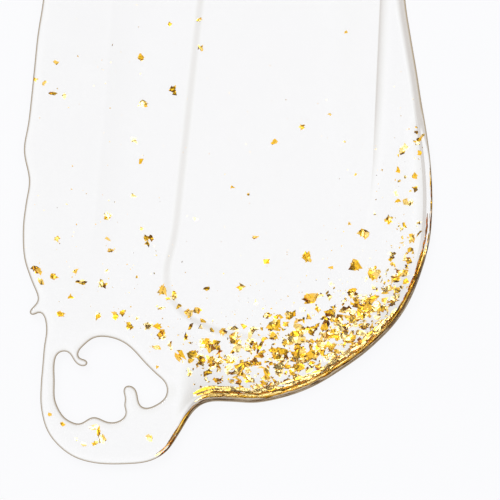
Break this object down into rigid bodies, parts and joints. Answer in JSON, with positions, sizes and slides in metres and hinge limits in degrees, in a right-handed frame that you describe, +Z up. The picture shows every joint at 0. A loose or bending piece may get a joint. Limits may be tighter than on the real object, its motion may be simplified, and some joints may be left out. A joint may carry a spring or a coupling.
{
  "type": "gold flake gel smear",
  "caption": "Smear of clear gel with gold leaf flakes in it: a thin swept lane, thicker bands at its sides, a thick front where the flakes pile up, and a lobe with a window through it.",
  "frame": {"origin": "under the middle of the gel's box, in the plane that it lies on", "axes": "+Z up out of the flat base, +Y back along the blade's stroke to where it started, +X to the right of the stroke seen from above with its start at the top"},
  "size_m": [0.0512, 0.082, 0.0028],
  "materials": {
    "clear_gel": "gloss",
    "gold_leaf": "polished"
  },
  "bodies": {
    "root": {"gel_body": "clear_gel", "leaf_left_01": "gold_leaf", "leaf_left_02": "gold_leaf", "leaf_left_03": "gold_leaf", "leaf_left_04": "gold_leaf", "leaf_left_05": "gold_leaf", "leaf_left_06": "gold_leaf", "leaf_left_07": "gold_leaf", "leaf_left_08": "gold_leaf", "leaf_left_09": "gold_leaf", "leaf_left_10": "gold_leaf", "leaf_left_11": "gold_leaf", "leaf_left_12": "gold_leaf", "leaf_left_13": "gold_leaf", "leaf_left_14": "gold_leaf", "leaf_lane_01": "gold_leaf", "leaf_lane_02": "gold_leaf", "leaf_lane_03": "gold_leaf", "leaf_lane_04": "gold_leaf", "leaf_lane_05": "gold_leaf", "leaf_lane_06": "gold_leaf", "leaf_lane_07": "gold_leaf", "leaf_bead_01": "gold_leaf", "leaf_bead_02": "gold_leaf", "leaf_bead_03": "gold_leaf", "leaf_bead_04": "gold_leaf", "leaf_bead_05": "gold_leaf", "leaf_bead_06": "gold_leaf", "leaf_bead_07": "gold_leaf", "leaf_front_01": "gold_leaf", "leaf_front_02": "gold_leaf", "leaf_front_03": "gold_leaf", "leaf_front_04": "gold_leaf", "leaf_front_05": "gold_leaf", "leaf_front_06": "gold_leaf", "leaf_front_07": "gold_leaf", "leaf_front_08": "gold_leaf", "leaf_front_09": "gold_leaf", "leaf_front_10": "gold_leaf", "leaf_front_11": "gold_leaf", "leaf_front_12": "gold_leaf", "leaf_front_13": "gold_leaf", "leaf_front_14": "gold_leaf", "leaf_front_15": "gold_leaf", "leaf_front_16": "gold_leaf", "leaf_front_17": "gold_leaf", "leaf_front_18": "gold_leaf", "leaf_front_19": "gold_leaf", "leaf_front_20": "gold_leaf", "leaf_lobe_01": "gold_leaf", "leaf_lobe_02": "gold_leaf"}
  },
  "joints": []
}
